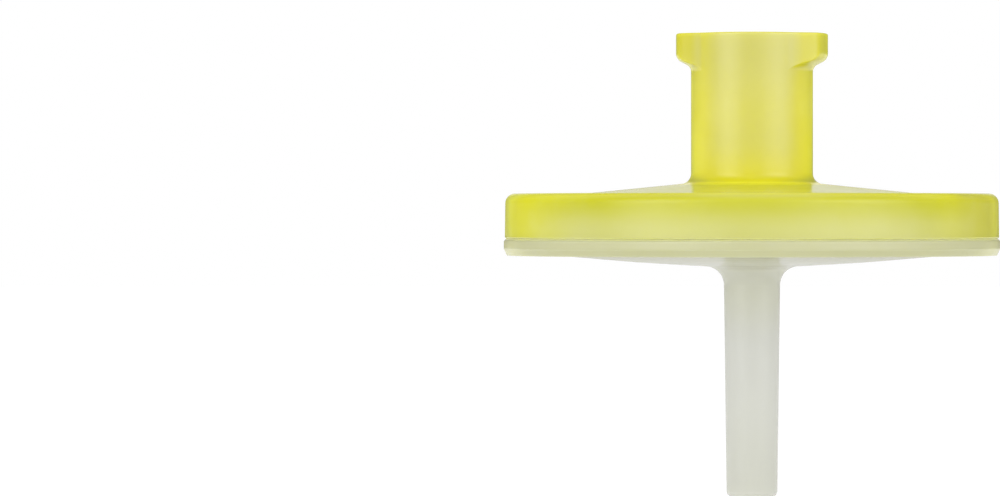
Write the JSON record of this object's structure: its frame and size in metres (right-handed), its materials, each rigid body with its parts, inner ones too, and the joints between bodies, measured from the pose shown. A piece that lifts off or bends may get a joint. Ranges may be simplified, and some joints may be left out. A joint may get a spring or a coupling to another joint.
{
  "type": "syringe filter",
  "caption": "Round disc syringe filter: yellow inlet housing with a female luer-lock hub, clamped membrane, and a natural outlet housing with a slender tapered spigot.",
  "frame": {"origin": "centre of the inlet mouth, in the plane of the luer hub's end face, where the syringe's tip goes in", "axes": "+Z along the flow axis, out of the inlet mouth towards the syringe (the spigot points to -Z); +X through the crest of one luer-lock lug, the other lug is at -X; +Y completes a right-handed frame"},
  "size_m": [0.0254, 0.0254, 0.0238],
  "materials": {
    "yellow_polypropylene": "translucent yellow moulded polypropylene, satin, frosted",
    "membrane_film": "thin white porous polymer membrane, matt",
    "natural_polypropylene": "natural translucent moulded polypropylene, satin, frosted"
  },
  "bodies": {
    "root": {"inlet_housing": "yellow_polypropylene", "membrane": "membrane_film", "outlet_housing": "natural_polypropylene"}
  },
  "joints": []
}
